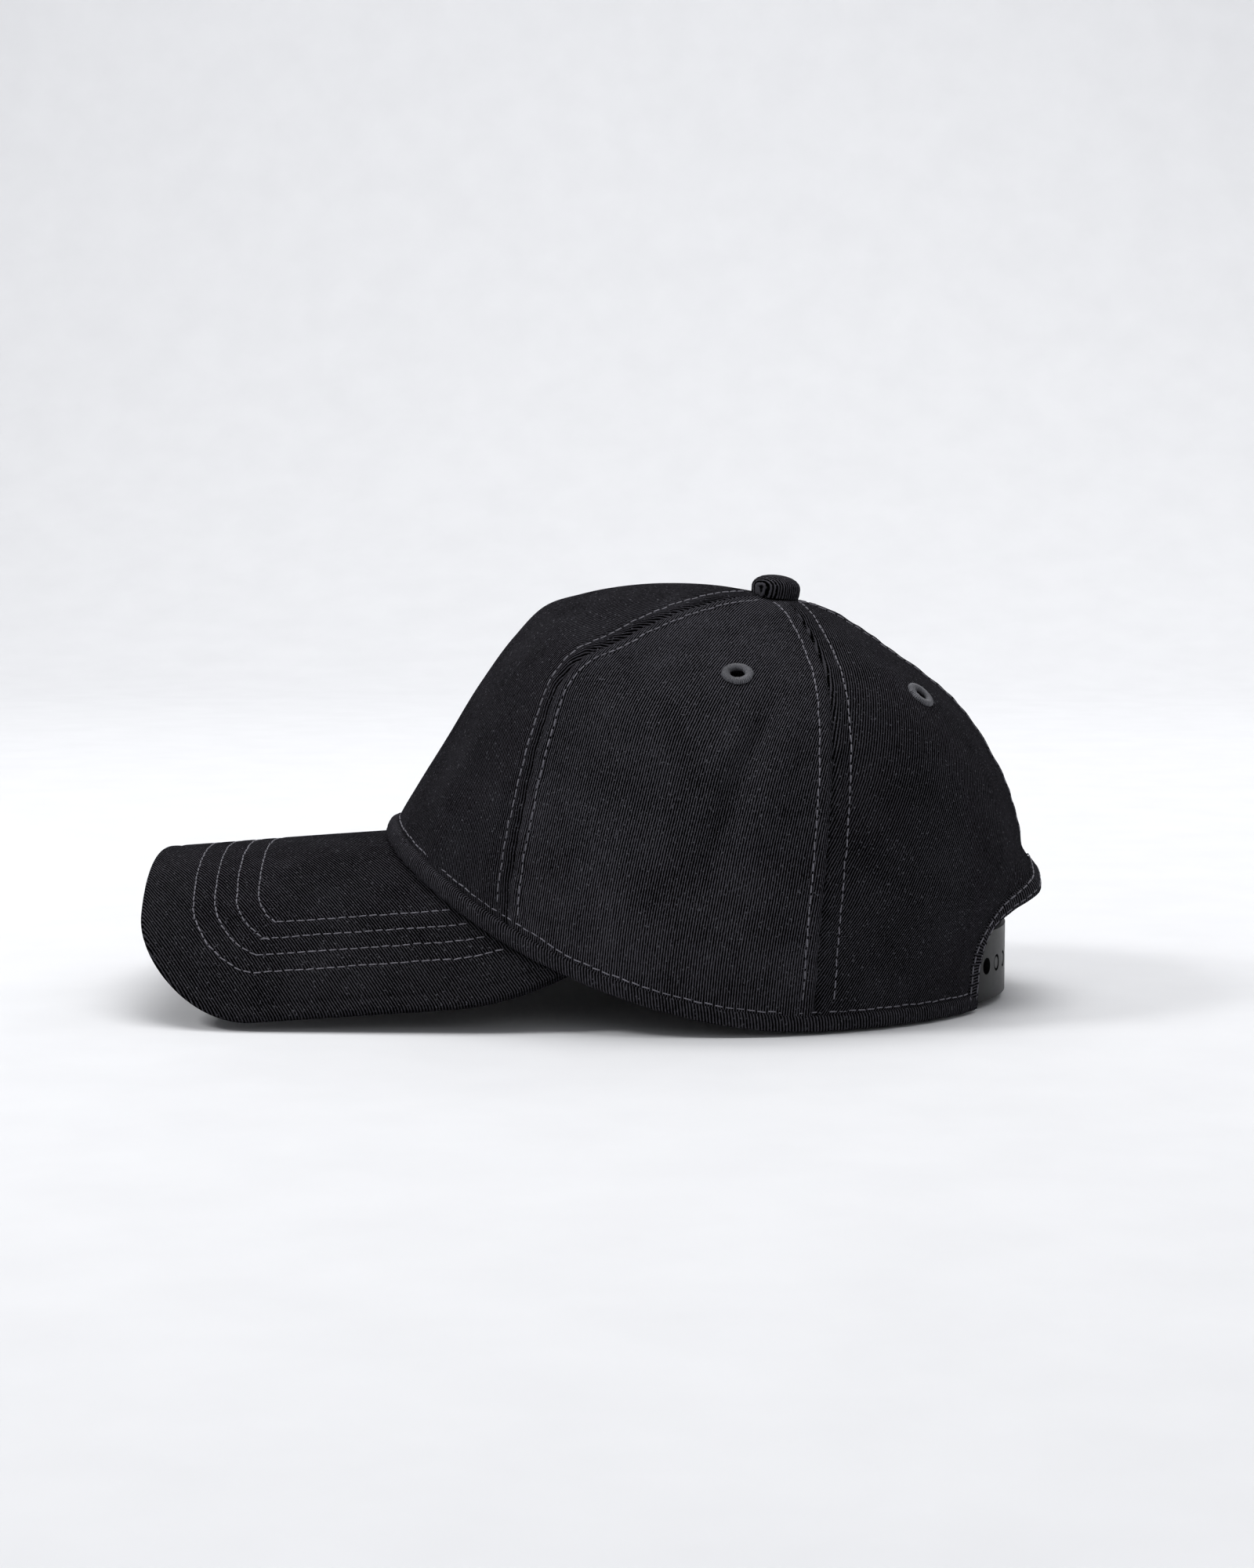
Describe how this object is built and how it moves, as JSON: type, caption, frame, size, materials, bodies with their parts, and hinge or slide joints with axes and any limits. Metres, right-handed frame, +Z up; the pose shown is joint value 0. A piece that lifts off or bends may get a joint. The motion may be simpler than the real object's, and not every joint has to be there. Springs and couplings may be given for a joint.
{
  "type": "baseball cap",
  "caption": "Structured panelled cap with a curved visor, eyelets, a covered top button and a snap strap across a rear arch opening.",
  "frame": {"origin": "centre of the cap's footprint, on the surface that it stands on", "axes": "+Z up, the visor points along -Y, +X is the wearer's left"},
  "size_m": [0.1698, 0.2667, 0.125],
  "materials": {
    "twill": "black cotton twill, matt, with a fine diagonal rib",
    "buckram": "stiff open-weave buckram, matt",
    "sweatband_cotton": "plain black cotton, matt",
    "seam_tape": "black woven tape, matt",
    "eyelet_thread": "grey polyester embroidery thread, slight sheen",
    "button_metal": "plain pressed metal",
    "visor_plastic": "flexible polyethylene sheet",
    "strap_plastic": "black moulded plastic, smooth and slightly glossy",
    "label_cloth": "blank woven label, matt"
  },
  "bodies": {
    "crown": {"front_panel": "twill", "left_side_panel": "twill", "right_side_panel": "twill", "left_rear_panel": "twill", "right_rear_panel": "twill", "front_stiffener": "buckram", "crown_edge_hem": "twill", "arch_binding": "twill", "sweatband": "sweatband_cotton", "front_left_seam_tape": "seam_tape", "front_right_seam_tape": "seam_tape", "rear_left_seam_tape": "seam_tape", "rear_right_seam_tape": "seam_tape", "rear_centre_seam_tape": "seam_tape", "left_side_eyelet": "eyelet_thread", "right_side_eyelet": "eyelet_thread", "left_rear_eyelet": "eyelet_thread", "right_rear_eyelet": "eyelet_thread", "button_cover": "twill", "button_shell": "button_metal", "button_back": "button_metal", "visor_board": "visor_plastic", "visor_top_cover": "twill", "visor_bottom_cover": "twill", "hole_strap_flange": "strap_plastic", "peg_strap_flange": "strap_plastic", "care_label": "label_cloth"},
    "hole_strap": {"hole_strap": "strap_plastic"},
    "peg_strap": {"peg_strap": "strap_plastic"}
  },
  "joints": [
    {"name": "hole_strap_bend", "type": "hinge", "parent": "crown", "child": "hole_strap", "pos_m": [0.03384, 0.11122, 0.0115], "axis": [0, 0, -1], "range_deg": [0, 35], "stiffness_Nm_per_rad": 0.03},
    {"name": "peg_strap_bend", "type": "hinge", "parent": "crown", "child": "peg_strap", "pos_m": [-0.03302, 0.11003, 0.0115], "axis": [0, 0, -1], "range_deg": [0, 28], "stiffness_Nm_per_rad": 0.03}
  ]
}
